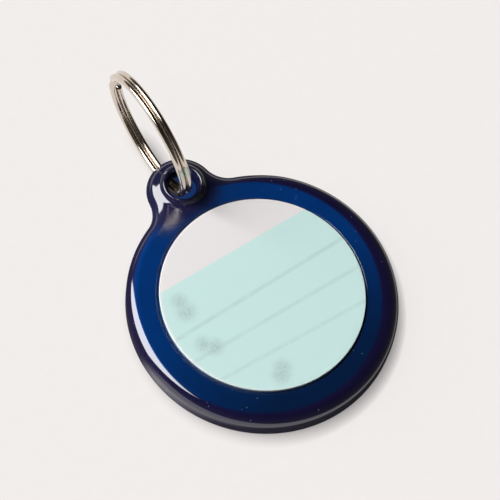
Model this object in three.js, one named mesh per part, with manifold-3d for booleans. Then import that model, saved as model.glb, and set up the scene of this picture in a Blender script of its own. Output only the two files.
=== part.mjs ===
// Collar key for a selective cat flap: a sealed transponder disc with a moulded lug, hung on a split ring.
// Millimetres, +Z up. The disc lies on its back, the lug points along +Y, and the origin is the centre
// of the back face.

import * as THREE from 'three';
import { mergeVertices } from 'three/addons/utils/BufferGeometryUtils.js';
import Module from 'manifold-3d';

const wasm = await Module();
wasm.setup();

// Moulded disc
const DISC_RADIUS = 15.5;
const DISC_THICKNESS = 4.2;
const FACE_EDGE_RADIUS = 1.5;
const BACK_EDGE_RADIUS = 1.2;

// Lug and its eye
const LUG_OUTSET = 0.6;
const LUG_RADIUS = 4.1;
const LUG_THICKNESS = 2.3;
const LUG_BACK_EDGE_RADIUS = 0.75;
const LUG_FILLET_RADIUS = 3.2;
const LUG_ROOT_OVERLAP = 2.7;
const LUG_TANGENT_INSET = 0.03;
const EYE_NECK_RADIUS = 1.65;
const EYE_NECK_HEIGHT = 0.3;
const EYE_NECK_DEPTH = 0.6;
const EYE_MOUTH_RADIUS = 2.1;
const EYE_BACK_RADIUS = 2.9;
const COLLAR_HEIGHT = 0.7;
const COLLAR_LIP_WIDTH = 0.16;
const COLLAR_LIP_CHAMFER = 0.08;
const COLLAR_FOOT_RADIUS = 2.55;
const COLLAR_FILLET_WIDTH = 0.14;
const COLLAR_FILLET_HEIGHT = 0.2;
const COLLAR_ROOT_DEPTH = 0.6;

// Label and its recess
const LABEL_BORDER = 3.8;
const LABEL_THICKNESS = 0.5;
const LABEL_EDGE_RADIUS = 0.15;
const LABEL_RECESS_DEPTH = 0.25;
const LABEL_GAP = 0.35;

// Inside of the disc
const FACE_WALL = 1.1;
const RIM_WIDTH = 2.7;
const COVER_THICKNESS = 0.9;
const COVER_LEDGE = 0.7;
const COVER_CLEARANCE = 0.1;
const COVER_EDGE_CHAMFER = 0.2;

// Coil former and winding
const FORMER_COVER = 0.35;
const FORMER_WALL = 0.4;
const FORMER_FLANGE = 0.3;
const FORMER_CLEARANCE = 0.2;
const COIL_BUILD = 2.5;
const COIL_CLEARANCE = 0.05;
const FOAM_THICKNESS = 0.25;

// Board and what is soldered on it
const BOARD_WIDTH = 10;
const BOARD_DEPTH = 7.5;
const BOARD_THICKNESS = 0.6;
const BOARD_CORNER_RADIUS = 0.8;
const CHIP_LENGTH = 3.9;
const CHIP_WIDTH = 2.8;
const CHIP_HEIGHT = 0.75;
const CHIP_X = -1.8;
const CHIP_Y = 1.2;
const CHIP_LEGS_PER_SIDE = 4;
const CHIP_LEG_PITCH = 0.9;
const CHIP_LEG_WIDTH = 0.35;
const CHIP_LEG_REACH = 0.6;
const CAPACITOR_LENGTH = 2;
const CAPACITOR_WIDTH = 1.25;
const CAPACITOR_HEIGHT = 0.8;
const CAPACITOR_X = 2.9;
const CAPACITOR_Y = 1.2;
const CAPACITOR_EDGE = 0.08;
const LEAD_DIAMETER = 0.24;
const LEAD_SPACING = 3;
const LEAD_PAD_INSET = 0.8;
const LEAD_CLEARANCE = 0.05;
const LEAD_SLOT_MARGIN = 0.18;
const LEAD_BEND_RADIUS = 0.6;
const LEAD_CURVE_TENSION = 0.4;

// Split ring, and how it stands in the photograph
const RING_RADIUS = 7.55;
const RING_WIRE_WIDTH = 0.52;
const RING_WIRE_DEPTH = 0.9;
const RING_TURN_GAP = 0.42;
const RING_JOG = THREE.MathUtils.degToRad(44);
const RING_JOG_PLACE = THREE.MathUtils.degToRad(20);
const RING_END_GAP = THREE.MathUtils.degToRad(4);
const RING_TIP_LENGTH = 0.4;
const RING_TIP_TAPER = 0.85;
const RING_TIP_STEPS = [1 / 8, 1 / 2];
const RING_SIDE_OFFSET = -0.52;
const RING_EYE_INSET = 0.1;
const RING_YAW = THREE.MathUtils.degToRad(-2.2);
const RING_LEAN = THREE.MathUtils.degToRad(5.3);
const RING_FLOOR_GAP = 0.05;

// Facet counts
const DISC_SEGMENTS = 96;
const INNER_SEGMENTS = 48;
const EYE_SEGMENTS = 40;
const EDGE_STEPS = 6;
const COLLAR_STEPS = 4;
const LABEL_EDGE_STEPS = 3;
const LUG_ARC_STEPS = 28;
const FILLET_ARC_STEPS = 8;
const ROOT_ARC_STEPS = 6;
const RING_STEPS_PER_TURN = 40;
const RING_SIDES = 8;
const LEAD_SIDES = 8;
const LEAD_STEPS = 14;
const BOARD_CORNER_STEPS = 5;
const CAPACITOR_CORNER_STEPS = 3;
const CAPACITOR_EDGE_STEPS = 2;
const CUT_MARGIN = 1;

// Heights and radii that the sizes above lead to
const LUG_CENTRE_Y = DISC_RADIUS + LUG_OUTSET;
const LABEL_RADIUS = DISC_RADIUS - LABEL_BORDER;
const POCKET_RADIUS = DISC_RADIUS - RIM_WIDTH;
const RECESS_FLOOR = DISC_THICKNESS - LABEL_RECESS_DEPTH;
const POCKET_TOP = RECESS_FLOOR - FACE_WALL;
const LUG_BACK = DISC_THICKNESS - LUG_THICKNESS;
const EYE_NECK_Z = DISC_THICKNESS - EYE_NECK_DEPTH;
const COLLAR_TOP = DISC_THICKNESS + COLLAR_HEIGHT;
const FOAM_TOP = COVER_THICKNESS + FOAM_THICKNESS;
const BOARD_BACK = POCKET_TOP - BOARD_THICKNESS;
const RECESS_RADIUS = LABEL_RADIUS + LABEL_GAP;
const FORMER_RADIUS = POCKET_RADIUS - FORMER_CLEARANCE;
const COIL_BORE_RADIUS = FORMER_RADIUS - FORMER_COVER - COIL_BUILD;
const FORMER_BORE_RADIUS = COIL_BORE_RADIUS - COIL_CLEARANCE - FORMER_WALL;
const COIL_BACK = FOAM_TOP + FORMER_FLANGE + COIL_CLEARANCE;

// Joins equal vertices, drops empty triangles and turns the faces out.
function closed(geometry) {
  const bare = geometry.clone();
  bare.deleteAttribute('normal');
  bare.deleteAttribute('uv');
  const merged = mergeVertices(bare);
  const index = Array.from(merged.index.array);
  const corner = (i) => new THREE.Vector3().fromBufferAttribute(merged.attributes.position, i);
  const triangles = [];
  let volume = 0;
  for (let i = 0; i < index.length; i += 3) {
    const [a, b, c] = index.slice(i, i + 3);
    if (a === b || b === c || c === a) continue;
    triangles.push([a, b, c]);
    volume += corner(a).dot(corner(b).cross(corner(c))) / 6;
  }
  const outward = volume > 0 ? triangles : triangles.map(([a, b, c]) => [a, c, b]);
  merged.setIndex(outward.flat());
  merged.computeVertexNormals();
  return merged;
}

function toSolid(geometry) {
  const mesh = closed(geometry);
  return new wasm.Manifold(new wasm.Mesh({
    numProp: 3,
    vertProperties: new Float32Array(mesh.attributes.position.array),
    triVerts: new Uint32Array(mesh.index.array),
  }));
}

function fromSolid(solid) {
  const mesh = solid.getMesh();
  const geometry = new THREE.BufferGeometry();
  geometry.setAttribute('position', new THREE.BufferAttribute(mesh.vertProperties, mesh.numProp));
  geometry.setIndex(Array.from(mesh.triVerts));
  return closed(geometry);
}

// Turns a profile of [radius, height] pairs about +Z.
function revolve(profile, segments) {
  const points = profile.map(([radius, height]) => new THREE.Vector2(radius, height));
  return closed(new THREE.LatheGeometry(points, segments).rotateX(Math.PI / 2));
}

// A ring of rectangular or any other closed section about +Z.
function revolveRing(profile, segments) {
  return revolve([...profile, profile[0]], segments);
}

// Skins equal rings of points in order, and closes both ends with the flat outline given for each.
function loft(sections, startOutline, endOutline) {
  const count = sections[0].length;
  const index = [];
  for (let s = 0; s + 1 < sections.length; s += 1) {
    for (let i = 0; i < count; i += 1) {
      const j = (i + 1) % count;
      const [a, b] = [s * count + i, s * count + j];
      index.push(a, b, b + count, a, b + count, a + count);
    }
  }
  const last = (sections.length - 1) * count;
  for (const [a, b, c] of THREE.ShapeUtils.triangulateShape(startOutline, [])) index.push(a, c, b);
  for (const [a, b, c] of THREE.ShapeUtils.triangulateShape(endOutline, [])) {
    index.push(last + a, last + b, last + c);
  }
  const geometry = new THREE.BufferGeometry().setFromPoints(sections.flat());
  geometry.setIndex(index);
  return closed(geometry);
}

// A quarter of a round edge as [inset, rise] pairs, from the full outline up to the flat face.
function roundedEdge(radius, steps = EDGE_STEPS) {
  const pairs = [];
  for (let i = 0; i <= steps; i += 1) {
    const angle = (i / steps) * (Math.PI / 2);
    pairs.push([radius * (1 - Math.cos(angle)), radius * Math.sin(angle)]);
  }
  return pairs;
}

function arc(centre, radius, from, to, steps) {
  const points = [];
  for (let i = 0; i <= steps; i += 1) {
    const angle = from + ((to - from) * i) / steps;
    const [x, y] = [centre.x + radius * Math.cos(angle), centre.y + radius * Math.sin(angle)];
    points.push(new THREE.Vector2(x, y));
  }
  return points;
}

function roundedRectangle(width, depth, radius) {
  const [x, y] = [width / 2 - radius, depth / 2 - radius];
  const shape = new THREE.Shape();
  shape.absarc(x, -y, radius, -Math.PI / 2, 0);
  shape.absarc(x, y, radius, 0, Math.PI / 2);
  shape.absarc(-x, y, radius, Math.PI / 2, Math.PI);
  shape.absarc(-x, -y, radius, Math.PI, 1.5 * Math.PI);
  return shape;
}

function block(width, depth, height, x, y, z) {
  return new THREE.BoxGeometry(width, depth, height).translate(x, y, z);
}

// Disc blank with both edges rounded, still solid inside.
function discBlank() {
  const profile = [[0, 0]];
  for (const [inset, rise] of roundedEdge(BACK_EDGE_RADIUS).reverse()) {
    profile.push([DISC_RADIUS - inset, BACK_EDGE_RADIUS - rise]);
  }
  for (const [inset, rise] of roundedEdge(FACE_EDGE_RADIUS)) {
    profile.push([DISC_RADIUS - inset, DISC_THICKNESS - FACE_EDGE_RADIUS + rise]);
  }
  profile.push([0, DISC_THICKNESS]);
  return revolve(profile, DISC_SEGMENTS);
}

// Outline of the lug, its two hollow fillets and its root inside the disc, drawn in by an inset.
function lugOutline(inset) {
  const discRadius = DISC_RADIUS - LUG_TANGENT_INSET;
  const fromDisc = discRadius + LUG_FILLET_RADIUS;
  const fromLug = LUG_RADIUS + LUG_FILLET_RADIUS;
  const filletY = (fromDisc ** 2 - fromLug ** 2 + LUG_CENTRE_Y ** 2) / (2 * LUG_CENTRE_Y);
  const filletX = Math.sqrt(fromDisc ** 2 - filletY ** 2);
  const right = new THREE.Vector2(filletX, filletY);
  const left = new THREE.Vector2(-filletX, filletY);
  const lug = new THREE.Vector2(0, LUG_CENTRE_Y);
  const atDisc = Math.atan2(filletY, filletX);
  const atLug = Math.atan2(filletY - LUG_CENTRE_Y, filletX);
  const filletRadius = LUG_FILLET_RADIUS + inset;
  const rootRadius = DISC_RADIUS - LUG_ROOT_OVERLAP;
  return [
    ...arc(right, filletRadius, atDisc + Math.PI, atLug + Math.PI, FILLET_ARC_STEPS),
    ...arc(lug, LUG_RADIUS - inset, atLug, Math.PI - atLug, LUG_ARC_STEPS).slice(1),
    ...arc(left, filletRadius, -atLug, -atDisc, FILLET_ARC_STEPS).slice(1),
    ...arc(new THREE.Vector2(), rootRadius, Math.PI - atDisc, atDisc, ROOT_ARC_STEPS),
  ];
}

// Lug plate: flush with the face, thinner than the disc, both edges rounded.
function lugPlate() {
  const levels = [];
  const backEdge = roundedEdge(LUG_BACK_EDGE_RADIUS).reverse();
  for (const [inset, rise] of backEdge) levels.push([inset, LUG_BACK + LUG_BACK_EDGE_RADIUS - rise]);
  const faceEdgeStart = DISC_THICKNESS - FACE_EDGE_RADIUS;
  for (const [inset, rise] of roundedEdge(FACE_EDGE_RADIUS)) levels.push([inset, faceEdgeStart + rise]);
  const outlines = levels.map(([inset]) => lugOutline(inset));
  const sections = outlines.map((outline, i) => (
    outline.map((point) => new THREE.Vector3(point.x, point.y, levels[i][1]))
  ));
  return loft(sections, outlines[0], outlines[outlines.length - 1]);
}

// Raised collar round the eye: a thin lip, a sloping flank and a hollow fillet at its foot.
function eyeCollar() {
  const lipRadius = EYE_MOUTH_RADIUS + COLLAR_LIP_WIDTH;
  const root = DISC_THICKNESS - COLLAR_ROOT_DEPTH;
  const profile = [[0, root], [COLLAR_FOOT_RADIUS, root]];
  for (let i = 0; i <= COLLAR_STEPS; i += 1) {
    const angle = (i / COLLAR_STEPS) * (Math.PI / 2);
    const radius = COLLAR_FOOT_RADIUS - COLLAR_FILLET_WIDTH * Math.sin(angle);
    profile.push([radius, DISC_THICKNESS + COLLAR_FILLET_HEIGHT * (1 - Math.cos(angle))]);
  }
  profile.push([lipRadius, COLLAR_TOP - COLLAR_LIP_CHAMFER]);
  profile.push([lipRadius - COLLAR_LIP_CHAMFER, COLLAR_TOP], [0, COLLAR_TOP]);
  return revolve(profile, EYE_SEGMENTS).translate(0, LUG_CENTRE_Y, 0);
}

// Eye: a short neck that flares up into the collar's mouth and down to the lug's back.
function eyeCutter() {
  const flare = (radius, height) => {
    const start = EYE_NECK_HEIGHT / 2;
    const pairs = [];
    for (let i = 0; i <= EDGE_STEPS; i += 1) {
      const angle = (i / EDGE_STEPS) * (Math.PI / 2);
      const spread = (radius - EYE_NECK_RADIUS) * (1 - Math.cos(angle));
      pairs.push([EYE_NECK_RADIUS + spread, start + (height - start) * Math.sin(angle)]);
    }
    pairs.push([radius, height + CUT_MARGIN]);
    return pairs;
  };
  const below = EYE_NECK_Z - LUG_BACK;
  const above = COLLAR_TOP - EYE_NECK_Z;
  const back = flare(EYE_BACK_RADIUS, below).reverse().map(([radius, height]) => [radius, -height]);
  const face = flare(EYE_MOUTH_RADIUS, above);
  const profile = [[0, -below - CUT_MARGIN], ...back, ...face, [0, above + CUT_MARGIN]];
  return revolve(profile, EYE_SEGMENTS).translate(0, LUG_CENTRE_Y, EYE_NECK_Z);
}

function labelRecessCutter() {
  const top = DISC_THICKNESS + CUT_MARGIN;
  const profile = [[0, RECESS_FLOOR], [RECESS_RADIUS, RECESS_FLOOR], [RECESS_RADIUS, top], [0, top]];
  return revolve(profile, DISC_SEGMENTS);
}

// Pocket for the coil and board, stepped at the back for the cover.
function pocketCutter() {
  const stepRadius = POCKET_RADIUS + COVER_LEDGE;
  const profile = [
    [0, -CUT_MARGIN],
    [stepRadius, -CUT_MARGIN],
    [stepRadius, COVER_THICKNESS],
    [POCKET_RADIUS, COVER_THICKNESS],
    [POCKET_RADIUS, POCKET_TOP],
    [0, POCKET_TOP],
  ];
  return revolve(profile, DISC_SEGMENTS);
}

function frontShell() {
  const body = toSolid(discBlank()).add(toSolid(lugPlate())).add(toSolid(eyeCollar()));
  const cut = [labelRecessCutter(), pocketCutter(), eyeCutter()];
  return fromSolid(cut.reduce((solid, cutter) => solid.subtract(toSolid(cutter)), body));
}

// Welded back cover, chamfered on the inside so that it drops into the step.
function rearCover() {
  const radius = POCKET_RADIUS + COVER_LEDGE - COVER_CLEARANCE;
  const profile = [
    [0, 0],
    [radius, 0],
    [radius, COVER_THICKNESS - COVER_EDGE_CHAMFER],
    [radius - COVER_EDGE_CHAMFER, COVER_THICKNESS],
    [0, COVER_THICKNESS],
  ];
  return revolve(profile, DISC_SEGMENTS);
}

// Printed label that stands a little proud of the face, with a rounded rim.
function faceLabel() {
  const profile = [[0, 0], [LABEL_RADIUS, 0]];
  for (const [inset, rise] of roundedEdge(LABEL_EDGE_RADIUS, LABEL_EDGE_STEPS)) {
    profile.push([LABEL_RADIUS - inset, LABEL_THICKNESS - LABEL_EDGE_RADIUS + rise]);
  }
  profile.push([0, LABEL_THICKNESS]);
  return revolve(profile, DISC_SEGMENTS).translate(0, 0, RECESS_FLOOR);
}

function foamSheet() {
  const profile = [[0, 0], [FORMER_RADIUS, 0], [FORMER_RADIUS, FOAM_THICKNESS], [0, FOAM_THICKNESS]];
  return revolve(profile, INNER_SEGMENTS).translate(0, 0, COVER_THICKNESS);
}

// Bobbin with its channel facing out, and a slot under each end of the winding.
function coilFormer() {
  const wallRadius = FORMER_BORE_RADIUS + FORMER_WALL;
  const bobbin = revolveRing([
    [FORMER_BORE_RADIUS, FOAM_TOP],
    [FORMER_RADIUS, FOAM_TOP],
    [FORMER_RADIUS, FOAM_TOP + FORMER_FLANGE],
    [wallRadius, FOAM_TOP + FORMER_FLANGE],
    [wallRadius, POCKET_TOP - FORMER_FLANGE],
    [FORMER_RADIUS, POCKET_TOP - FORMER_FLANGE],
    [FORMER_RADIUS, POCKET_TOP],
    [FORMER_BORE_RADIUS, POCKET_TOP],
  ], INNER_SEGMENTS);
  const slotWidth = LEAD_DIAMETER + 2 * LEAD_SLOT_MARGIN;
  const slotDepth = FORMER_RADIUS - FORMER_BORE_RADIUS + 2 * CUT_MARGIN;
  const slotY = -(FORMER_RADIUS + FORMER_BORE_RADIUS) / 2;
  const slotHeight = FORMER_FLANGE + LEAD_SLOT_MARGIN + CUT_MARGIN;
  const slotZ = FOAM_TOP + FORMER_FLANGE + LEAD_SLOT_MARGIN - slotHeight / 2;
  let former = toSolid(bobbin);
  for (const side of [-1, 1]) {
    const slot = block(slotWidth, slotDepth, slotHeight, (side * LEAD_SPACING) / 2, slotY, slotZ);
    former = former.subtract(toSolid(slot));
  }
  return fromSolid(former);
}

// Bonded winding, as one ring of the channel's inside size.
function antennaCoil() {
  const height = POCKET_TOP - FORMER_FLANGE - COIL_CLEARANCE - COIL_BACK;
  return revolveRing([
    [COIL_BORE_RADIUS, 0],
    [COIL_BORE_RADIUS + COIL_BUILD, 0],
    [COIL_BORE_RADIUS + COIL_BUILD, height],
    [COIL_BORE_RADIUS, height],
  ], INNER_SEGMENTS).translate(0, 0, COIL_BACK);
}

function transponderBoard() {
  const outline = roundedRectangle(BOARD_WIDTH, BOARD_DEPTH, BOARD_CORNER_RADIUS);
  const settings = { depth: BOARD_THICKNESS, bevelEnabled: false, curveSegments: BOARD_CORNER_STEPS };
  return closed(new THREE.ExtrudeGeometry(outline, settings).translate(0, 0, BOARD_BACK));
}

// Chip package with a row of flat legs along each long side, soldered under the board.
function transponderChip() {
  const bodyZ = BOARD_BACK - LEAD_CLEARANCE - CHIP_HEIGHT / 2;
  const legHeight = LEAD_CLEARANCE + CHIP_HEIGHT / 2;
  let chip = toSolid(block(CHIP_LENGTH, CHIP_WIDTH, CHIP_HEIGHT, CHIP_X, CHIP_Y, bodyZ));
  for (let i = 0; i < CHIP_LEGS_PER_SIDE; i += 1) {
    const x = CHIP_X + (i - (CHIP_LEGS_PER_SIDE - 1) / 2) * CHIP_LEG_PITCH;
    const span = CHIP_WIDTH + 2 * CHIP_LEG_REACH;
    chip = chip.add(toSolid(block(CHIP_LEG_WIDTH, span, legHeight, x, CHIP_Y, BOARD_BACK - legHeight / 2)));
  }
  return fromSolid(chip);
}

function tuningCapacitor() {
  const inner = roundedRectangle(
    CAPACITOR_WIDTH - 2 * CAPACITOR_EDGE,
    CAPACITOR_LENGTH - 2 * CAPACITOR_EDGE,
    CAPACITOR_EDGE,
  );
  const settings = {
    depth: CAPACITOR_HEIGHT - 2 * CAPACITOR_EDGE,
    bevelSize: CAPACITOR_EDGE,
    bevelThickness: CAPACITOR_EDGE,
    bevelSegments: CAPACITOR_EDGE_STEPS,
    curveSegments: CAPACITOR_CORNER_STEPS,
  };
  const z = BOARD_BACK - CAPACITOR_HEIGHT + CAPACITOR_EDGE;
  return closed(new THREE.ExtrudeGeometry(inner, settings).translate(CAPACITOR_X, CAPACITOR_Y, z));
}

// One end of the winding: out through the former's slot and across to its pad under the board.
function coilLead(side) {
  const x = (side * LEAD_SPACING) / 2;
  const radius = LEAD_DIAMETER / 2;
  const slotZ = COIL_BACK - LEAD_CLEARANCE - radius;
  const padZ = BOARD_BACK - LEAD_CLEARANCE - radius;
  const padY = -BOARD_DEPTH / 2 + LEAD_PAD_INSET;
  const startY = -(COIL_BORE_RADIUS + COIL_BUILD / 2);
  const path = new THREE.CatmullRomCurve3([
    new THREE.Vector3(x, startY, slotZ),
    new THREE.Vector3(x, LEAD_BEND_RADIUS - FORMER_BORE_RADIUS, slotZ),
    new THREE.Vector3(x, (padY - FORMER_BORE_RADIUS) / 2, (slotZ + padZ) / 2),
    new THREE.Vector3(x, padY - LEAD_PAD_INSET, padZ),
    new THREE.Vector3(x, padY, padZ),
  ], false, 'catmullrom', LEAD_CURVE_TENSION);
  const section = new THREE.Shape(arc(new THREE.Vector2(), radius, 0, 2 * Math.PI, LEAD_SIDES).slice(1));
  const settings = { steps: LEAD_STEPS, extrudePath: path, bevelEnabled: false, curveSegments: 1 };
  return closed(new THREE.ExtrudeGeometry(section, settings));
}

// Wire of the split ring as rings of points about its own +Z: one turn, a jog, and a second turn.
function ringSections() {
  const halfTurnPitch = (RING_WIRE_WIDTH + RING_TURN_GAP) / 2;
  const first = RING_JOG / 2 + RING_END_GAP;
  const last = 4 * Math.PI - first;
  const tip = RING_TIP_LENGTH / RING_RADIUS;
  const tipAngles = RING_TIP_STEPS.map((share) => share * tip);
  const angles = [first, ...tipAngles.map((angle) => first + angle)];
  const steps = Math.round(((last - first) / (2 * Math.PI)) * RING_STEPS_PER_TURN);
  for (let i = 0; i <= steps; i += 1) angles.push(first + tip + ((last - first - 2 * tip) * i) / steps);
  angles.push(...tipAngles.reverse().map((angle) => last - angle), last);
  return angles.map((angle) => {
    const [jogStart, jogEnd] = [2 * Math.PI - RING_JOG / 2, 2 * Math.PI + RING_JOG / 2];
    const across = THREE.MathUtils.smootherstep(angle, jogStart, jogEnd);
    const axial = halfTurnPitch * (2 * across - 1);
    const fromEnd = Math.min(1, Math.min(angle - first, last - angle) / tip);
    const scale = Math.sqrt(1 - RING_TIP_TAPER * (1 - fromEnd) ** 2);
    return arc(new THREE.Vector2(), 0.5, 0, 2 * Math.PI, RING_SIDES).slice(1).map((point) => {
      const radius = RING_RADIUS + point.x * RING_WIRE_DEPTH * scale;
      const turn = RING_JOG_PLACE + angle;
      const z = axial + point.y * RING_WIRE_WIDTH * scale;
      return new THREE.Vector3(radius * Math.cos(turn), radius * Math.sin(turn), z);
    });
  });
}

// Least distance between points of the wire that lie more than half a turn apart along it.
function leastTurnGap(sections) {
  let least = Infinity;
  for (let i = 0; i < sections.length; i += 1) {
    for (let j = i + RING_STEPS_PER_TURN / 2; j < sections.length; j += 1) {
      for (const a of sections[i]) {
        for (const b of sections[j]) least = Math.min(least, a.distanceTo(b));
      }
    }
  }
  return least;
}

function splitRing() {
  const sections = ringSections();
  console.log(`split ring: least gap between its turns ${leastTurnGap(sections).toFixed(2)} mm`);
  const outline = arc(new THREE.Vector2(), 1, 0, 2 * Math.PI, RING_SIDES).slice(1);
  return loft(sections, outline, outline);
}

// The ring stands on the table with its wire through the eye's neck, a little to one side of it.
function placeRing(group) {
  const axis = new THREE.Vector3(
    Math.cos(RING_LEAN) * Math.cos(RING_YAW),
    Math.cos(RING_LEAN) * Math.sin(RING_YAW),
    Math.sin(RING_LEAN),
  );
  const outward = new THREE.Vector3(0, 0, 1).cross(axis).normalize();
  const upward = new THREE.Vector3().crossVectors(axis, outward);
  const eye = new THREE.Vector3(RING_SIDE_OFFSET, LUG_CENTRE_Y - RING_EYE_INSET, EYE_NECK_Z);
  const lift = RING_FLOOR_GAP + (RING_RADIUS + RING_WIRE_DEPTH / 2) * upward.z - eye.z;
  const swing = Math.asin(lift / (RING_RADIUS * upward.z));
  group.quaternion.setFromRotationMatrix(new THREE.Matrix4().makeBasis(outward, upward, axis));
  group.position.copy(eye);
  group.position.addScaledVector(outward, RING_RADIUS * Math.cos(swing));
  group.position.addScaledVector(upward, RING_RADIUS * Math.sin(swing));
}

const blueShell = { color: 0x0a3f86, roughness: 0.12, metalness: 0 };
const labelStock = { color: 0xc2e1db, roughness: 0.45, metalness: 0 };
const blackPlastic = { color: 0x16171a, roughness: 0.5, metalness: 0 };
const copper = { color: 0xb4633a, roughness: 0.35, metalness: 1 };
const boardGreen = { color: 0x1f5a38, roughness: 0.5, metalness: 0 };
const capacitorTan = { color: 0x9a7b54, roughness: 0.6, metalness: 0 };
const foamGrey = { color: 0x8d9093, roughness: 0.9, metalness: 0 };
const nickel = { color: 0xc9c6bf, roughness: 0.18, metalness: 1 };

function piece(name, geometry, material) {
  const mesh = new THREE.Mesh(geometry, new THREE.MeshStandardMaterial(material));
  mesh.name = name;
  return mesh;
}

const disc = new THREE.Group();
disc.add(
  piece('front_shell', frontShell(), blueShell),
  piece('rear_cover', rearCover(), blueShell),
  piece('face_label', faceLabel(), labelStock),
  piece('foam_sheet', foamSheet(), foamGrey),
  piece('coil_former', coilFormer(), blackPlastic),
  piece('antenna_coil', antennaCoil(), copper),
  piece('coil_lead_start', coilLead(-1), copper),
  piece('coil_lead_finish', coilLead(1), copper),
  piece('transponder_board', transponderBoard(), boardGreen),
  piece('transponder_chip', transponderChip(), blackPlastic),
  piece('tuning_capacitor', tuningCapacitor(), capacitorTan),
);

const ring = new THREE.Group();
ring.add(piece('split_ring', splitRing(), nickel));
placeRing(ring);

const collarKey = new THREE.Group();
collarKey.add(disc, ring);

export default collarKey;
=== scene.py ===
# Collar key for a selective cat flap: dressed model, floor, light and camera.
import math

import bpy
import numpy as np
from mathutils import Matrix, Vector


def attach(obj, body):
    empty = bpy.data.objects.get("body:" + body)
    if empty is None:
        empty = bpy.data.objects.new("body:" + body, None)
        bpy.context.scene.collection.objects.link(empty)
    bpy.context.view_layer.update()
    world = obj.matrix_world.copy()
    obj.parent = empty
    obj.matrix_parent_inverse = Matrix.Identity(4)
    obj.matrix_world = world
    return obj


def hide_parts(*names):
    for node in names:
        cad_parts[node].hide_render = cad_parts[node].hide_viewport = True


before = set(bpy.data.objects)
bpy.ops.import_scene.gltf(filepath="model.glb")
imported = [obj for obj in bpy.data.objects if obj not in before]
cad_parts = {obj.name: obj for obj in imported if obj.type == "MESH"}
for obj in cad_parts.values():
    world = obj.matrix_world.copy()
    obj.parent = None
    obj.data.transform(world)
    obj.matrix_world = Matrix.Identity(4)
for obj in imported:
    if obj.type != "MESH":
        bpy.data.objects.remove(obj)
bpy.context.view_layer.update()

MM = 0.001


def srgb(red, green, blue):
    """Linear colour from display values of 0 to 255."""
    def linear(value):
        value /= 255
        return value / 12.92 if value <= 0.04045 else ((value + 0.055) / 1.055) ** 2.4

    return tuple(linear(value) for value in (red, green, blue))


# Shell sizes in millimetres
DISC_RADIUS = 15.5
DISC_THICKNESS = 4.2
FACE_EDGE_RADIUS = 1.5
BACK_EDGE_RADIUS = 1.2
LUG_CENTRE_Y = 16.1
LUG_RADIUS = 4.1
LUG_BACK = 1.9
LUG_BACK_EDGE_RADIUS = 0.75
LUG_FACE_EDGE_RADIUS = 1.95
LUG_ROUNDING_FROM = 10.5
LUG_ROUNDING_TO = 15.0
LUG_FILLET_RADIUS = 3.2
UNDER_LUG_BLEND = 0.5
EYE_NECK_RADIUS = 1.62
EYE_NECK_Z = 3.6
EYE_NECK_HALF_HEIGHT = 0.15
EYE_MOUTH_RADIUS = 2.1
EYE_BACK_RADIUS = 2.9
EYE_LIP_BLEND = 0.12
COLLAR_TOP = 4.9
COLLAR_ROOT = 3.6
COLLAR_FOOT_RADIUS = 2.52
COLLAR_SLOPE = 0.3
COLLAR_LIP_BLEND = 0.2
COLLAR_FOOT_BLEND = 0.5
RECESS_OFFSET = (-0.2, 0.14)
RECESS_RADIUS = 11.95
RECESS_FLOOR = 3.95
RECESS_LIP_BLEND = 0.15
POCKET_RADIUS = 12.8
POCKET_TOP = 2.85
COVER_LEDGE_RADIUS = 13.5
COVER_TOP = 0.9

# Meshing of the shell
SHELL_PITCH = 0.14
SHELL_MARGIN = 2 * SHELL_PITCH
CELL_CORNERS = 8
PROJECTION_STEPS = 5
GRADIENT_STEP = 0.01
LEAST_BLEND = 1e-6
LEAST_STEEPNESS = 0.1
LEAST_NORMAL = 1e-9

# Label sizes in millimetres
LABEL_RADIUS = 11.7
LABEL_OFFSET = (-0.11, 0.13)
LABEL_THICKNESS = 0.5
LABEL_EDGE_RADIUS = 0.08
LABEL_EDGE_STEPS = 6
LABEL_FLAT_SHARE = 0.97
LABEL_SEGMENTS = 240

# Split ring sizes in millimetres and radians
RING_RADIUS = 7.55
RING_WIRE_WIDTH = 0.71
RING_WIRE_DEPTH = 0.9
RING_TURN_GAP = 0.02
RING_JOG = math.radians(20)
RING_JOG_PLACE = math.radians(4)
RING_END_GAP = math.radians(3)
RING_SIDE_OFFSET = -0.52
RING_EYE_INSET = 0.1
RING_YAW = math.radians(-2.2)
RING_LEAN = math.radians(5.3)
RING_FLOOR_GAP = 0.05
RING_SQUARENESS = 2.2
RING_STEPS = 960
RING_SIDES = 48

# Look of the shell: places and edges in millimetres, dust in shares of a cell, colours in pairs
NOISE_MIDDLE = (0.3, 0.7)
CLOUD_SCALE = 350
CLOUD_DETAIL = 4
# Painted light and shade: a lit and a shaded copy of the blue, lit towards +y where the lug is
BLUE_LIT = (srgb(1, 47, 108), srgb(3, 56, 124))
BLUE_SHADED = (srgb(3, 26, 58), srgb(5, 32, 70))
BLUE_LIT_RISE = (-13.5, 4)
# Painted glow: light let through the flat face, drawn as a brighter blue in the base colour
GLOW_CENTRE = (-0.64, 0.28)
GLOW_EDGE = (14.35, 13.85)
GLOW_DEPTH = (3.3, 4.0)
RIM_NAVY = (srgb(17, 14, 46), srgb(24, 20, 58))
LUG_NAVY = (srgb(15, 16, 44), srgb(21, 24, 58))
LUG_NAVY_EDGE = (7, 4)
LUG_SHADE_EDGE = (2.8, 5.2)
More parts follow.
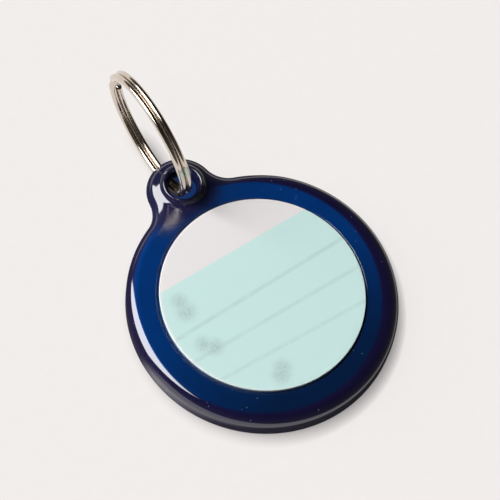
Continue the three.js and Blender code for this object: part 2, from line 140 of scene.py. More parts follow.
# Painted shade at the lug's neck: the blue glow gives way to a purple-navy
NECK_SHADE_CENTRE = (-3.2, 14.5)
NECK_SHADE_EDGE = (0.8, 4.2)
NECK_SHADE_COLOUR = srgb(27, 25, 62)
DUST_SCALE = 700
DUST_EDGE = (0.05, 0.02)
DUST_IN_CLOUD = (0.57, 0.6)
DUST_SHARE = 0.45
DUST_COLOUR = srgb(150, 168, 186)
SHELL_GRAIN_SCALE = 1400
SHELL_ROUGHNESS = (0.04, 0.07)
LUG_DULL_EDGE = (6.5, 3.5)
LUG_DULLNESS = 0.04
NECK_DULL_RISE = (15.2, 13.6)
NECK_DULL_EDGE = (12, 5)
NECK_DULLNESS = 0.14
SHELL_IOR = 1.54
SHELL_SPECULAR = 1.0

# Look of the label: heights and slopes of its lines, places and reaches of its rubbed spots
LABEL_WHITE = srgb(238, 234, 234)
LABEL_MINT = srgb(206, 237, 233)
LABEL_RULED = srgb(182, 212, 207)
LABEL_GRIME = srgb(150, 172, 168)
LABEL_GRAIN_SCALE = 900
LABEL_GRAIN_DETAIL = 2
LABEL_GRAIN_SHADE = 0.985
LABEL_BOUNDARY = (6.2, -0.0236)
LABEL_BOUNDARY_EDGE = (-0.06, 0.06)
LABEL_LINES = ((0.75, -0.005, 0.5), (-2.8, -0.033, 0.4), (-6.4, -0.06, 0.35))
LABEL_LINE_EDGE = (0.34, 0.12)
LABEL_LINE_WEAR = (0.2, 0.6, 0.4, 1)
LABEL_RUBS = (
    (-8.6, 4.4, 1.5),
    (-8.7, 3.0, 1.8),
    (-9.3, -1.3, 1.5),
    (-8.4, -2.2, 1.6),
    (-3.5, -8.4, 1.6),
    (-4.1, -9.0, 1.7),
)
LABEL_SMEAR_SCALE = 4200
LABEL_SMEAR = (0.25, 0.75, 0.25, 0.6)
LABEL_CUT_EDGE = (11.45, 11.6)
LABEL_CUT_SHARE = 0.5
LABEL_ROUGHNESS = 0.55
LABEL_SPECULAR = 0.3
LABEL_BUMP_STRENGTH = 0.08
LABEL_BUMP_DEPTH = 0.05

# Look of the ring and of the inner pieces
NICKEL_TONES = (srgb(208, 197, 183), srgb(230, 220, 207))
NICKEL_TONE_SCALE = 700
NICKEL_GRAIN_SCALE = 1500
NICKEL_ROUGHNESS = (0.1, 0.17)
INNER_GRAIN_SCALE = 1200
INNER_ROUGHNESS_SPREAD = 0.08
COPPER_TONES = ((0.4, 0.1, 0.03), (0.55, 0.17, 0.06))
COPPER_ROUGHNESS = 0.35
BLACK_TONES = ((0.008, 0.008, 0.009), (0.014, 0.014, 0.015))
BLACK_ROUGHNESS = 0.5
FOAM_TONES = ((0.2, 0.21, 0.22), (0.33, 0.34, 0.35))
FOAM_ROUGHNESS = 0.9
BOARD_TONES = ((0.01, 0.08, 0.03), (0.02, 0.12, 0.05))
BOARD_ROUGHNESS = 0.45
CERAMIC_TONES = ((0.25, 0.15, 0.07), (0.38, 0.24, 0.11))
CERAMIC_ROUGHNESS = 0.6

# Floor, in metres, and how much of it the shell mirrors; its contact shadow, the blue light under
# the eye and the shade in its reflections are painted
FLOOR_SIZE = 8.0
FLOOR_DROP = 0.00002
FLOOR_COLOUR = srgb(242, 238, 237)
FLOOR_ROUGHNESS = 0.9
FLOOR_CAST_SHARE = 0.06
FLOOR_GRAIN = (srgb(240, 236, 234), srgb(244, 240, 239))
FLOOR_GRAIN_SCALE = 700
FLOOR_GRAIN_DETAIL = 4
FLOOR_GRAIN_ROUGHNESS = 0.6
# Painted shade in reflections: mirrored rays see less of the floor near the disc, reaching further
# out to +x and -y
FLOOR_IN_GLOSS = (0.05, 1.0)
FLOOR_IN_GLOSS_CENTRE = (0.0023, -0.0017, 0.0)
FLOOR_IN_GLOSS_REACH = (0.0170, 0.0190)
# Painted shade in reflections: dim floor by the lug, in a wedge to the left and far out to +x and -y
FLOOR_BY_LUG_REACH = (0.012, 0.022)
FLOOR_BY_LUG_SHARE = 0.02
FLOOR_DIM_ALONG = (-0.819, 0.574, 0.0)
FLOOR_DIM_ACROSS = (-0.574, -0.819, 0.0)
FLOOR_DIM_SPREAD = (math.radians(24), math.radians(40))
FLOOR_DIM_SHARE = 0.03
FLOOR_FAR_ALONG = (0.815, -0.58, 0.0)
FLOOR_FAR_REACH = (0.021, 0.031)
FLOOR_FAR_SHARE = 0.12
FLOOR_CLEAR_ABOVE_SHELL = (0.0050, 0.0062)
FLOOR_CLEAR_PAST_LUG = (0.0203, 0.0208)
# Painted light: a blue pool on the floor under the eye, as if let through the lug
UNDER_LUG_PAINTED_LIGHT = srgb(5, 46, 102)
UNDER_LUG_CENTRE = (0.0011, 0.0170, 0.0)
UNDER_LUG_REACH = (0.0019, 0.0032)
# Painted contact shadow: ambient occlusion darkens the floor's own colour, leaning towards the
# softbox
CONTACT_REACH = 0.0017
CONTACT_LEAN = (-0.7, 0.5, 0.51)
CONTACT_SAMPLES = 8

# Softbox: azimuth and elevation in degrees, size in metres, and its four slanting sides
KEY_DIRECTION = (142, 37)
KEY_SIZE = (1.2, 1.3)
KEY_RADIANCE = 7.8
KEY_SIDES = (
    (1.0, -0.32, 0.385, 0.05),
    (-1.0, 0.287, 0.414, 0.05),
    (-0.164, 1.0, 0.44, 0.04),
    (0.0, -1.0, 0.62, 0.16),
)
LAMP_DISTANCE = 1.0

# Dim room round the table
WORLD_COLOUR = (1.0, 0.9, 0.82)
WORLD_HORIZON = 0.1
WORLD_ZENITH = 0.012
WORLD_FADE_HEIGHT = 0.85

# Camera, fitted to the photograph; place in millimetres
CAMERA_SENSOR = 36
CAMERA_LENS = 180
CAMERA_NEAR = 0.01
CAMERA_RIGHT = Vector((0.81075, -0.57707, 0.0984))
CAMERA_DOWN = Vector((-0.49806, -0.76831, -0.40204))
CAMERA_FORWARD = Vector((0.30761, 0.27695, -0.91032))
CAMERA_PLACE = Vector((-85.432, -73.222, 262.391))


# Meshes

def new_object(name, vertices, faces, body):
    """A smooth mesh object from points in millimetres, riding on a body."""
    mesh = bpy.data.meshes.new(name)
    mesh.from_pydata((np.asarray(vertices) * MM).tolist(), [], [list(face) for face in faces])
    mesh.validate()
    mesh.shade_smooth()
    made = bpy.data.objects.new(name, mesh)
    bpy.context.scene.collection.objects.link(made)
    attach(made, body)
    return made


def tube_faces(rows, sides):
    """Quads between rows of points that go round, and a cap on the first and last row."""
    faces = []
    for row in range(rows - 1):
        for side in range(sides):
            a = row * sides + side
            b = row * sides + (side + 1) % sides
            faces.append((a, b, b + sides, a + sides))
    faces.append(tuple(reversed(range(sides))))
    faces.append(tuple((rows - 1) * sides + side for side in range(sides)))
    return faces


# Moulded shell, from a distance field

def smooth_min(a, b, width):
    """The smaller of two fields, rounded off where they are within a width of each other."""
    near = np.maximum(width - np.abs(a - b), 0)
    return np.minimum(a, b) - near * near / (4 * width)


def smooth_max(a, b, width):
    """The larger of two fields, rounded off in the same way."""
    return -smooth_min(-a, -b, width)


def slab(edge, z, bottom, top, bottom_radius, top_radius):
    """Distance to a plate of that outline with rounded edges."""
    upper = z > (bottom + bottom_radius + top - top_radius) / 2
    radius = np.where(upper, top_radius, bottom_radius)
    side = edge + radius
    beyond = np.where(upper, z - top, bottom - z) + radius
    outside = np.hypot(np.maximum(side, 0), np.maximum(beyond, 0))
    return outside + np.minimum(np.maximum(side, beyond), 0) - radius


def plate_outline(x, y):
    """Distance to the outline of the disc, the lug and the two hollow fillets between them."""
    from_disc = DISC_RADIUS + LUG_FILLET_RADIUS
    from_lug = LUG_RADIUS + LUG_FILLET_RADIUS
    fillet_y = (from_disc**2 - from_lug**2 + LUG_CENTRE_Y**2) / (2 * LUG_CENTRE_Y)
    fillet_x = math.sqrt(from_disc**2 - fillet_y**2)
    to_lug = (-fillet_x, LUG_CENTRE_Y - fillet_y)
    px = np.abs(x) - fillet_x
    py = y - fillet_y
    past_disc_line = -fillet_x * py + fillet_y * px <= 0
    before_lug_line = px * to_lug[1] - py * to_lug[0] <= 0
    circles = np.minimum(np.hypot(x, y) - DISC_RADIUS, np.hypot(x, y - LUG_CENTRE_Y) - LUG_RADIUS)
    hollow = LUG_FILLET_RADIUS - np.hypot(px, py)
    return np.where(past_disc_line & before_lug_line, np.minimum(circles, hollow), circles)


def eye_cut(x, y, z):
    """Distance to the space of the eye: a neck that flares to the collar's mouth and the back."""
    out = np.hypot(x, y - LUG_CENTRE_Y)
    top = EYE_NECK_Z + EYE_NECK_HALF_HEIGHT
    bottom = EYE_NECK_Z - EYE_NECK_HALF_HEIGHT
    above = np.clip((z - top) / (COLLAR_TOP - top), 0, 1)
    below = np.clip((bottom - z) / (bottom - LUG_BACK), 0, 1)
    mouth = (EYE_MOUTH_RADIUS - EYE_NECK_RADIUS) * above**2
    back = (EYE_BACK_RADIUS - EYE_NECK_RADIUS) * below**2
    return out - EYE_NECK_RADIUS - mouth - back


def eye_collar(x, y, z):
    """Distance to the raised collar round the eye."""
    out = np.hypot(x, y - LUG_CENTRE_Y)
    leaning = out - COLLAR_FOOT_RADIUS + COLLAR_SLOPE * (z - DISC_THICKNESS)
    flank = leaning / math.hypot(1, COLLAR_SLOPE)
    return np.maximum(smooth_max(flank, z - COLLAR_TOP, COLLAR_LIP_BLEND), COLLAR_ROOT - z)


def shell_field(x, y, z):
    """Signed distance to the moulded shell, in millimetres."""
    radius = np.hypot(x, y)
    rounder = np.clip((y - LUG_ROUNDING_FROM) / (LUG_ROUNDING_TO - LUG_ROUNDING_FROM), 0, 1)
    more = (LUG_FACE_EDGE_RADIUS - FACE_EDGE_RADIUS) * rounder**2 * (3 - 2 * rounder)
    face_edge = FACE_EDGE_RADIUS + more
    disc = slab(radius - DISC_RADIUS, z, 0, DISC_THICKNESS, BACK_EDGE_RADIUS, face_edge)
    outline = plate_outline(x, y)
    plate = slab(outline, z, LUG_BACK, DISC_THICKNESS, LUG_BACK_EDGE_RADIUS, face_edge)
    below_lug = np.clip(LUG_BACK + LUG_BACK_EDGE_RADIUS - z, 0, 1)
    body = smooth_min(disc, plate, UNDER_LUG_BLEND * below_lug + LEAST_BLEND)
    from_recess = np.hypot(x - RECESS_OFFSET[0], y - RECESS_OFFSET[1])
    recess = np.maximum(from_recess - RECESS_RADIUS, RECESS_FLOOR - z)
    body = smooth_max(body, -recess, RECESS_LIP_BLEND)
    pocket = np.maximum(radius - POCKET_RADIUS, z - POCKET_TOP)
    ledge = np.maximum(radius - COVER_LEDGE_RADIUS, z - COVER_TOP)
    body = np.maximum(body, -np.minimum(pocket, ledge))
    body = smooth_min(body, eye_collar(x, y, z), COLLAR_FOOT_BLEND)
    return smooth_max(body, -eye_cut(x, y, z), EYE_LIP_BLEND)


def gradient(field, points):
    """Slope of a field at each point."""
    slope = np.empty_like(points)
    for axis in range(3):
        step = np.zeros(3)
        step[axis] = GRADIENT_STEP
        slope[:, axis] = field(*(points + step).T) - field(*(points - step).T)
    return slope / (2 * GRADIENT_STEP)


def field_mesh(field, low, high, pitch):
    """Quads on the zero surface of a field, one point for each grid cell that it passes."""
    axes = [np.arange(start, stop + pitch, pitch) for start, stop in zip(low, high)]
    inside = field(*np.meshgrid(*axes, indexing="ij", sparse=True)) < 0
    cells = np.zeros([size - 1 for size in inside.shape], int)
    for corner in np.ndindex(2, 2, 2):
        cells += inside[tuple(slice(c, c + n) for c, n in zip(corner, cells.shape))]
    crossed = (cells > 0) & (cells < CELL_CORNERS)
    number = np.full(cells.shape, -1)
    number[crossed] = np.arange(crossed.sum())
    points = np.array(low) + (np.argwhere(crossed) + 0.5) * pitch
    for _ in range(PROJECTION_STEPS):
        slope = gradient(field, points)
        steepness = np.maximum((slope**2).sum(1), LEAST_STEEPNESS)
        move = np.clip(field(*points.T) / steepness, -pitch, pitch)
        points -= move[:, None] * slope
    quads = []
    for axis in range(3):
        here = np.moveaxis(inside, axis, 0)
        before, after = here[:-1, 1:-1, 1:-1], here[1:, 1:-1, 1:-1]
        cell = np.moveaxis(number, axis, 0)
        swap = axis == 1
        for leaving in (True, False):
            i, j, k = np.nonzero((before != after) & (before == leaving))
            around = [cell[i, j, k], cell[i, j + 1, k], cell[i, j + 1, k + 1], cell[i, j, k + 1]]
            if leaving == swap:
                around.reverse()
            quads.append(np.stack(around, 1))
    return points, np.concatenate(quads)


def make_shell():
    """The front moulding, with normals from its field."""
    low = (-DISC_RADIUS - SHELL_MARGIN, -DISC_RADIUS - SHELL_MARGIN, -SHELL_MARGIN)
    far_y = LUG_CENTRE_Y + LUG_RADIUS + SHELL_MARGIN
    high = (DISC_RADIUS + SHELL_MARGIN, far_y, COLLAR_TOP + SHELL_MARGIN)
    points, quads = field_mesh(shell_field, low, high, SHELL_PITCH)
    shell = new_object("shell", points, quads, "disc")
    normals = gradient(shell_field, points)
    normals /= np.maximum(np.linalg.norm(normals, axis=1, keepdims=True), LEAST_NORMAL)
    shell.data.normals_split_custom_set_from_vertices(normals.tolist())
    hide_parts("front_shell")
    return shell


# Label

def make_label():
    """The stick-on label: a disc with a rounded upper edge, on the recess floor."""
    profile = [(LABEL_RADIUS, 0.0)]
    for step in range(LABEL_EDGE_STEPS + 1):
        angle = step / LABEL_EDGE_STEPS * math.pi / 2
        inset = LABEL_EDGE_RADIUS * (1 - math.cos(angle))
        rise = LABEL_EDGE_RADIUS * math.sin(angle)
        profile.append((LABEL_RADIUS - inset, LABEL_THICKNESS - LABEL_EDGE_RADIUS + rise))
    profile.append((LABEL_RADIUS * LABEL_FLAT_SHARE, LABEL_THICKNESS))
    vertices = []
    for radius, height in profile:
        for step in range(LABEL_SEGMENTS):
            angle = 2 * math.pi * step / LABEL_SEGMENTS
            x = LABEL_OFFSET[0] + radius * math.cos(angle)
            y = LABEL_OFFSET[1] + radius * math.sin(angle)
            vertices.append((x, y, RECESS_FLOOR + height))
    faces = tube_faces(len(profile), LABEL_SEGMENTS)
    label = new_object("label", vertices, faces, "disc")
    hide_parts("face_label")
    return label


# Split ring

def ring_basis():
    """The ring's outward, upward and axis directions, and its centre, as it stands in the eye."""
    axis = Vector((
        math.cos(RING_LEAN) * math.cos(RING_YAW),
        math.cos(RING_LEAN) * math.sin(RING_YAW),
        math.sin(RING_LEAN),
    ))
    outward = Vector((0, 0, 1)).cross(axis).normalized()
    upward = axis.cross(outward)
    eye = Vector((RING_SIDE_OFFSET, LUG_CENTRE_Y - RING_EYE_INSET, EYE_NECK_Z))
    lift = RING_FLOOR_GAP + (RING_RADIUS + RING_WIRE_DEPTH / 2) * upward.z - eye.z
    swing = math.asin(lift / (RING_RADIUS * upward.z))
    centre = eye + outward * RING_RADIUS * math.cos(swing) + upward * RING_RADIUS * math.sin(swing)
    return np.array(outward), np.array(upward), np.array(axis), np.array(centre)


def make_ring():
    """One wire wound twice round, with a jog where it steps from one turn to the other."""
    outward, upward, axis, centre = ring_basis()
    half_pitch = (RING_WIRE_WIDTH + RING_TURN_GAP) / 2
    first = RING_JOG / 2 + RING_END_GAP
    last = 4 * math.pi - first
    vertices = []
    for step in range(RING_STEPS + 1):
        angle = first + (last - first) * step / RING_STEPS
        across = min(max((angle - 2 * math.pi + RING_JOG / 2) / RING_JOG, 0), 1)
        across = across**3 * (across * (6 * across - 15) + 10)
        axial = half_pitch * (2 * across - 1)
        turn = RING_JOG_PLACE + angle
        plane = outward * math.cos(turn) + upward * math.sin(turn)
        for side in range(RING_SIDES):
            around = 2 * math.pi * side / RING_SIDES
            c, s = math.cos(around), math.sin(around)
            power = abs(c) ** RING_SQUARENESS + abs(s) ** RING_SQUARENESS
            reach = power ** (-1 / RING_SQUARENESS)
            radius = RING_RADIUS + RING_WIRE_DEPTH / 2 * reach * c
            height = axial + RING_WIRE_WIDTH / 2 * reach * s
            vertices.append(centre + plane * radius + axis * height)
    faces = tube_faces(RING_STEPS + 1, RING_SIDES)
    ring = new_object("key_ring", vertices, faces, "ring")
    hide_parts("split_ring")
    return ring


# Node trees

class Nodes:
    """A node tree with short ways to add and join nodes."""

    def __init__(self, tree):
        self.tree = tree

    def add(self, kind, **values):
        """A new node with its settings."""
        node = self.tree.nodes.new(kind)
        for key, value in values.items():
            setattr(node, key, value)
        return node

    def join(self, source, target):
        """A link from an output to an input."""
        self.tree.links.new(source, target)

    def put(self, value, socket):
        """A number set on an input, or an output linked to it."""
        if isinstance(value, (int, float)):
            socket.default_value = value
        else:
            self.join(value, socket)

    def split(self, vector):
        """The three parts of a vector."""
        node = self.add("ShaderNodeSeparateXYZ")
        self.join(vector, node.inputs[0])
        return node.outputs

    def math(self, operation, a, b=None):
        """A sum or function of one or two values."""
        node = self.add("ShaderNodeMath", operation=operation)
        self.put(a, node.inputs[0])
        if b is not None:
            self.put(b, node.inputs[1])
        return node.outputs[0]

    def ramp(self, value, low, high, start=0.0, end=1.0, interpolation="SMOOTHSTEP"):
        """A value that goes from start to end as another goes from low to high."""
        node = self.add("ShaderNodeMapRange", interpolation_type=interpolation)
        self.join(value, node.inputs["Value"])
        limits = (("From Min", low), ("From Max", high), ("To Min", start), ("To Max", end))
        for key, number in limits:
            node.inputs[key].default_value = number
        return node.outputs[0]

    def fade(self, value, edge, start=0.0, end=1.0):
        """A ramp over an edge given in millimetres."""
        return self.ramp(value, edge[0] * MM, edge[1] * MM, start, end)

    def away_from(self, x, y, place):
        """Distance across the face from a place in millimetres."""
        sides = [self.math("SUBTRACT", value, part * MM) for value, part in zip((x, y), place)]
        squares = [self.math("MULTIPLY", side, side) for side in sides]
        return self.math("SQRT", self.math("ADD", *squares))

    def measure(self, operation, vector, other):
        """A distance from a point, or a share along a direction."""
        node = self.add("ShaderNodeVectorMath", operation=operation)
        self.join(vector, node.inputs[0])
        node.inputs[1].default_value = other
        return node.outputs["Value"]

    def mix(self, factor, a, b):
        """A colour between two, each a constant or a link."""
        node = self.add("ShaderNodeMix", data_type="RGBA")
        self.put(factor, node.inputs["Factor"])
        for socket, value in ((node.inputs[6], a), (node.inputs[7], b)):
            if isinstance(value, tuple):
                socket.default_value = (*value, 1)
            else:
                self.join(value, socket)
        return node.outputs[2]

    def position(self):
        """The place in the object's own frame, whole and in its three parts."""
        vector = self.add("ShaderNodeTexCoord").outputs["Object"]
        return vector, self.split(vector)

    def noise(self, vector, scale, detail=3.0, roughness=0.5):
        """Cloudy noise."""
        node = self.add("ShaderNodeTexNoise")
        self.join(vector, node.inputs["Vector"])
        node.inputs["Scale"].default_value = scale
        node.inputs["Detail"].default_value = detail
        node.inputs["Roughness"].default_value = roughness
        return node.outputs["Fac"]


class Shader(Nodes):
    """A material's node tree."""

    def __init__(self, name):
        self.material = bpy.data.materials.new(name)
        self.material.use_nodes = True
        super().__init__(self.material.node_tree)
        self.principled = self.tree.nodes["Principled BSDF"]
        self.output = self.tree.nodes["Material Output"]

    def set(self, **values):
        """Constant values of the surface."""
        for key, value in values.items():
            self.principled.inputs[key.replace("_", " ")].default_value = value

    def link(self, **values):
        """Values of the surface that vary over it."""
        for key, value in values.items():
            self.join(value, self.principled.inputs[key.replace("_", " ")])

    def bump(self, height, strength, distance):
        """Fine relief from a height."""
        node = self.add("ShaderNodeBump")
        self.join(height, node.inputs["Height"])
        node.inputs["Strength"].default_value = strength
        node.inputs["Distance"].default_value = distance
        self.link(Normal=node.outputs[0])


# Materials

def shell_material():
    """Dense tinted moulding, purple-black on rim and lug; the blue of the flat face is a painted
    glow of light let in, with painted light and shade across it and painted shade at the neck.
    """
    shader = Shader("shell_blue")
    vector, (x, y, z) = shader.position()
    from_lug = shader.away_from(x, y, (0, LUG_CENTRE_Y))
    # Painted glow: the flat face's base colour turns bright blue where it lets light in, none near
    # the lug or its neck
    flat = shader.fade(shader.away_from(x, y, GLOW_CENTRE), GLOW_EDGE)
    face = shader.fade(z, GLOW_DEPTH)
    off_neck = shader.fade(shader.away_from(x, y, NECK_SHADE_CENTRE), NECK_SHADE_EDGE)
    off_lug = shader.math("MULTIPLY", shader.fade(from_lug, LUG_SHADE_EDGE), off_neck)
    glow = shader.math("MULTIPLY", shader.math("MULTIPLY", flat, face), off_lug)
    cloud = shader.noise(vector, CLOUD_SCALE, CLOUD_DETAIL)
    # Painted light and shade: the blue goes from its shaded copy at -y to its lit copy towards the
    # lug
    lit = shader.mix(cloud, *BLUE_LIT)
    shaded = shader.mix(cloud, *BLUE_SHADED)
    blue = shader.mix(shader.fade(y, BLUE_LIT_RISE), shaded, lit)
    rim = shader.mix(cloud, *RIM_NAVY)
    lug = shader.mix(cloud, *LUG_NAVY)
    navy = shader.mix(shader.fade(from_lug, LUG_NAVY_EDGE), rim, lug)
    # Painted shade at the neck: purple-navy in place of the blue and the rim's navy
    navy = shader.mix(shader.math("SUBTRACT", 1.0, off_neck), navy, NECK_SHADE_COLOUR)
    colour = shader.mix(glow, navy, blue)
    specks = shader.add("ShaderNodeTexVoronoi", voronoi_dimensions="2D")
    shader.join(vector, specks.inputs["Vector"])
    specks.inputs["Scale"].default_value = DUST_SCALE
    grains = shader.ramp(specks.outputs["Distance"], *DUST_EDGE)
    dust = shader.math("MULTIPLY", grains, shader.ramp(cloud, *DUST_IN_CLOUD))
    colour = shader.mix(shader.math("MULTIPLY", dust, DUST_SHARE), colour, DUST_COLOUR)
    lug_dull = shader.fade(from_lug, LUG_DULL_EDGE, 0, LUG_DULLNESS)
    below_lug = shader.fade(y, NECK_DULL_RISE)
    neck_dull = shader.math("MULTIPLY", below_lug, shader.fade(from_lug, NECK_DULL_EDGE))
    dull = shader.math("ADD", lug_dull, shader.math("MULTIPLY", neck_dull, NECK_DULLNESS))
    grain = shader.noise(vector, SHELL_GRAIN_SCALE)
    rough = shader.math("ADD", shader.ramp(grain, *NOISE_MIDDLE, *SHELL_ROUGHNESS), dull)
    shader.link(Base_Color=colour, Roughness=rough)
    shader.set(IOR=SHELL_IOR, Specular_IOR_Level=SHELL_SPECULAR)
    return shader.material


def label_material():
    """Printed stock: bare white above, mint below with faint ruled lines and rubbed spots."""
    shader = Shader("label_print")
    vector, (x, y, _) = shader.position()
    grain = shader.noise(vector, LABEL_GRAIN_SCALE, LABEL_GRAIN_DETAIL)

    def above_line(height, slope):
        level = shader.math("SUBTRACT", y, shader.math("MULTIPLY", x, slope))
        return shader.math("SUBTRACT", level, height * MM)

    shaded_mint = tuple(LABEL_GRAIN_SHADE * value for value in LABEL_MINT)
    colour = shader.mix(grain, shaded_mint, LABEL_MINT)
    for height, slope, share in LABEL_LINES:
        away = shader.math("ABSOLUTE", above_line(height, slope))
        near = shader.fade(away, LABEL_LINE_EDGE, 0, share)
        worn = shader.math("MULTIPLY", near, shader.ramp(grain, *LABEL_LINE_WEAR))
        colour = shader.mix(worn, colour, LABEL_RULED)
    rubbed = 0.0
    for *place, reach in LABEL_RUBS:
        spot = shader.fade(shader.away_from(x, y, place), (reach, 0.0))
        rubbed = shader.math("MAXIMUM", rubbed, spot)
    smear = shader.ramp(shader.noise(vector, LABEL_SMEAR_SCALE), *LABEL_SMEAR)
    colour = shader.mix(shader.math("MULTIPLY", rubbed, smear), colour, LABEL_GRIME)
    bare = shader.fade(above_line(*LABEL_BOUNDARY), LABEL_BOUNDARY_EDGE)
    colour = shader.mix(bare, colour, LABEL_WHITE)
    from_centre = shader.away_from(x, y, (0, 0))
    cut = shader.fade(from_centre, LABEL_CUT_EDGE, 0, LABEL_CUT_SHARE)
    colour = shader.mix(cut, colour, LABEL_WHITE)
    shader.link(Base_Color=colour)
    shader.set(Roughness=LABEL_ROUGHNESS, Specular_IOR_Level=LABEL_SPECULAR)
    shader.bump(grain, LABEL_BUMP_STRENGTH, LABEL_BUMP_DEPTH * MM)
    return shader.material


def nickel_material():
    """Bright plating with a slightly uneven polish."""
    shader = Shader("ring_nickel")
    vector = shader.position()[0]
    tone = shader.mix(shader.noise(vector, NICKEL_TONE_SCALE), *NICKEL_TONES)
    grain = shader.noise(vector, NICKEL_GRAIN_SCALE)
    shader.link(Base_Color=tone, Roughness=shader.ramp(grain, *NOISE_MIDDLE, *NICKEL_ROUGHNESS))
    shader.set(Metallic=1.0)
    return shader.material


def plain_material(name, tones, roughness, metallic=0.0):
    """A grained material for an inner piece."""
    shader = Shader(name)
    grain = shader.noise(shader.position()[0], INNER_GRAIN_SCALE)
    spread = (roughness - INNER_ROUGHNESS_SPREAD, roughness + INNER_ROUGHNESS_SPREAD)
    shader.link(
        Base_Color=shader.mix(grain, *tones),
        Roughness=shader.ramp(grain, *NOISE_MIDDLE, *spread),
    )
    shader.set(Metallic=metallic)
    return shader.material


def dress(thing, material):
    """One material on a whole object."""
    thing.data.materials.clear()
    thing.data.materials.append(material)


# Floor, light and camera

def floor_tone(shader, place):
    """Colour of the floor: fine grain, painted blue light under the eye, and a painted shadow at the
    contact.
    """
    # Painted contact shadow: the floor's colour darkened by ambient occlusion
    lean = shader.add("ShaderNodeCombineXYZ")
    for socket, value in zip(lean.inputs, CONTACT_LEAN):
        socket.default_value = value
    contact = shader.add("ShaderNodeAmbientOcclusion", samples=CONTACT_SAMPLES)
    contact.inputs["Distance"].default_value = CONTACT_REACH
    shader.join(lean.outputs[0], contact.inputs["Normal"])
    # Painted light: a blue pool under the eye
    off_eye = shader.measure("DISTANCE", place, UNDER_LUG_CENTRE)
    let_through = shader.ramp(off_eye, *UNDER_LUG_REACH)
    noise = shader.noise(place, FLOOR_GRAIN_SCALE, FLOOR_GRAIN_DETAIL, FLOOR_GRAIN_ROUGHNESS)
    grain = shader.mix(noise, *FLOOR_GRAIN)
    shader.join(shader.mix(let_through, UNDER_LUG_PAINTED_LIGHT, grain), contact.inputs["Color"])
    return contact.outputs["Color"]


def floor_in_gloss(shader, place, ray_length):
    """Share of the floor that a mirrored ray sees, a painted shade in reflections: less by the
    shell, all of it from the ring.
    """
    from_disc = shader.measure("DISTANCE", place, FLOOR_IN_GLOSS_CENTRE)
    share = shader.ramp(from_disc, *FLOOR_IN_GLOSS_REACH, *FLOOR_IN_GLOSS)
    along = shader.measure("DOT_PRODUCT", place, FLOOR_DIM_ALONG)
    across = shader.measure("DOT_PRODUCT", place, FLOOR_DIM_ACROSS)
    turned = shader.math("ABSOLUTE", shader.math("ARCTAN2", across, along))
    lit = shader.ramp(turned, *FLOOR_DIM_SPREAD, FLOOR_DIM_SHARE, 1.0)
    from_eye = shader.measure("DISTANCE", place, (0, LUG_CENTRE_Y * MM, 0))
    by_lug = shader.ramp(from_eye, *FLOOR_BY_LUG_REACH, FLOOR_BY_LUG_SHARE, 1.0)
    rightward = shader.measure("DOT_PRODUCT", place, FLOOR_FAR_ALONG)
    far = shader.ramp(rightward, *FLOOR_FAR_REACH, 1.0, FLOOR_FAR_SHARE)
    for part in (lit, by_lug, far):
        share = shader.math("MULTIPLY", share, part)
    mirror = shader.add("ShaderNodeVectorMath", operation="MULTIPLY_ADD")
    shader.join(shader.add("ShaderNodeNewGeometry").outputs["Incoming"], mirror.inputs[0])
    shader.join(ray_length, mirror.inputs[1])
    shader.join(place, mirror.inputs[2])
    mirror_at = shader.split(mirror.outputs["Vector"])
    for axis, reach in (("Y", FLOOR_CLEAR_PAST_LUG), ("Z", FLOOR_CLEAR_ABOVE_SHELL)):
        share = shader.math("MAXIMUM", share, shader.ramp(mirror_at[axis], *reach))
    return share


def floor_material():
    """Plain pale floor that lights itself for the camera and for mirrors, with a painted contact
    shadow and a little of the real cast shadow.
    """
    shader = Shader("floor")
    shader.set(Base_Color=(*FLOOR_COLOUR, 1), Roughness=FLOOR_ROUGHNESS, Specular_IOR_Level=0.0)
    rays = shader.add("ShaderNodeLightPath").outputs
    mirrored = shader.math("MAXIMUM", rays["Is Glossy Ray"], rays["Is Transmission Ray"])
    seen = shader.math("MAXIMUM", rays["Is Camera Ray"], mirrored)
    place = shader.position()[0]
    pale = shader.add("ShaderNodeEmission")
    shader.join(floor_tone(shader, place), pale.inputs["Color"])
    # Painted shade in reflections: mirrored rays see the floor's light dimmed by place
    share = floor_in_gloss(shader, place, rays["Ray Length"])
    dimmed = shader.math("MULTIPLY", mirrored, shader.math("SUBTRACT", share, 1.0))
    shader.join(shader.math("ADD", dimmed, 1.0), pale.inputs["Strength"])
    mix = shader.add("ShaderNodeMixShader")
    shader.join(shader.math("MULTIPLY", seen, 1 - FLOOR_CAST_SHARE), mix.inputs[0])
    shader.join(shader.principled.outputs[0], mix.inputs[1])
    shader.join(pale.outputs[0], mix.inputs[2])
    shader.join(mix.outputs[0], shader.output.inputs["Surface"])
    return shader.material


def make_floor():
    """A square of floor just under the part."""
    half = FLOOR_SIZE / 2
    corners = [(-half, -half, 0), (half, -half, 0), (half, half, 0), (-half, half, 0)]
    mesh = bpy.data.meshes.new("floor")
    mesh.from_pydata(corners, [], [(0, 1, 2, 3)])
    floor = bpy.data.objects.new("floor", mesh)
    bpy.context.scene.collection.objects.link(floor)
    dress(floor, floor_material())
    floor.location.z = -FLOOR_DROP


def make_lamp(name, direction, size, radiance):
    """A softbox that faces the object, at an azimuth and an elevation in degrees."""
    lamp = bpy.data.lights.new(name, "AREA")
    lamp.shape = "RECTANGLE"
    lamp.size, lamp.size_y = size
    lamp.energy = radiance * math.pi * size[0] * size[1]
    made = bpy.data.objects.new(name, lamp)
    bpy.context.scene.collection.objects.link(made)
    azimuth, elevation = map(math.radians, direction)
    level = math.cos(elevation)
    away = Vector((math.cos(azimuth) * level, math.sin(azimuth) * level, math.sin(elevation)))
    along = Vector((-math.sin(azimuth), math.cos(azimuth), 0))
    turn = Matrix((along, away.cross(along), away)).transposed()
    made.matrix_world = Matrix.Translation(away * LAMP_DISTANCE) @ turn.to_4x4()
    return made


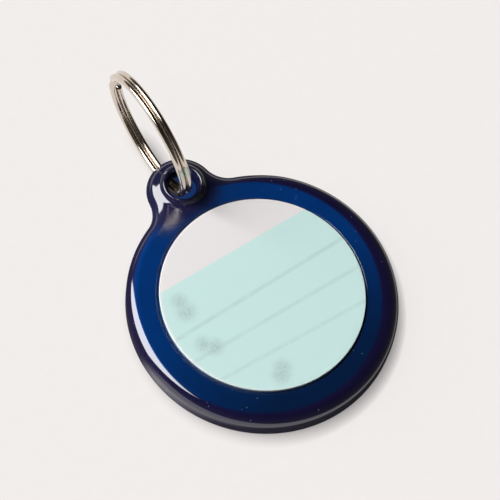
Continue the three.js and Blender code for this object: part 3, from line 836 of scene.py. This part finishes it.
def mask_lamp(lamp, sides):
    """Softbox cut to four slanting sides, each a line across the lamp with its own soft width."""
    lamp.use_nodes = True
    nodes = Nodes(lamp.node_tree)
    place = nodes.split(nodes.add("ShaderNodeNewGeometry").outputs["Parametric"])
    across = nodes.math("MULTIPLY", nodes.math("SUBTRACT", place["X"], 0.5), lamp.size)
    rise = nodes.math("MULTIPLY", nodes.math("SUBTRACT", place["Y"], 0.5), lamp.size_y)
    strength = 1.0
    for along_x, along_y, start, width in sides:
        parts = (nodes.math("MULTIPLY", across, along_x), nodes.math("MULTIPLY", rise, along_y))
        edge = nodes.ramp(nodes.math("ADD", *parts), -start, width - start, interpolation="LINEAR")
        strength = nodes.math("MULTIPLY", strength, edge)
    nodes.join(strength, nodes.tree.nodes["Emission"].inputs["Strength"])


def make_world():
    """A dim room, darker overhead than at the horizon."""
    world = bpy.data.worlds.new("studio")
    world.use_nodes = True
    nodes = Nodes(world.node_tree)
    background = nodes.tree.nodes["Background"]
    background.inputs["Color"].default_value = (*WORLD_COLOUR, 1)
    height = nodes.split(nodes.add("ShaderNodeTexCoord").outputs["Generated"])["Z"]
    fade = nodes.ramp(height, 0.0, WORLD_FADE_HEIGHT, WORLD_HORIZON, WORLD_ZENITH, "LINEAR")
    nodes.join(fade, background.inputs["Strength"])
    bpy.context.scene.world = world


def make_camera():
    """The photograph's point of view."""
    data = bpy.data.cameras.new("camera")
    data.sensor_width = CAMERA_SENSOR
    data.lens = CAMERA_LENS
    data.clip_start = CAMERA_NEAR
    camera = bpy.data.objects.new("camera", data)
    bpy.context.scene.collection.objects.link(camera)
    turn = Matrix((CAMERA_RIGHT, -CAMERA_DOWN, -CAMERA_FORWARD)).transposed()
    camera.matrix_world = Matrix.Translation(CAMERA_PLACE * MM) @ turn.to_4x4()
    bpy.context.scene.camera = camera


shell = make_shell()
label = make_label()
ring = make_ring()

blue = shell_material()
dress(shell, blue)
dress(label, label_material())
dress(ring, nickel_material())
copper = plain_material("copper_wire", COPPER_TONES, COPPER_ROUGHNESS, 1.0)
black = plain_material("plastic_black", BLACK_TONES, BLACK_ROUGHNESS)
inner = {
    "rear_cover": blue,
    "foam_sheet": plain_material("foam_grey", FOAM_TONES, FOAM_ROUGHNESS),
    "coil_former": black,
    "antenna_coil": copper,
    "coil_lead_start": copper,
    "coil_lead_finish": copper,
    "transponder_board": plain_material("board_green", BOARD_TONES, BOARD_ROUGHNESS),
    "transponder_chip": black,
    "tuning_capacitor": plain_material("capacitor_ceramic", CERAMIC_TONES, CERAMIC_ROUGHNESS),
}
for node, material in inner.items():
    dress(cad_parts[node], material)

make_floor()
key = make_lamp("softbox", KEY_DIRECTION, KEY_SIZE, KEY_RADIANCE)
mask_lamp(key.data, KEY_SIDES)
make_world()
make_camera()

bpy.context.scene.view_settings.view_transform = "Standard"
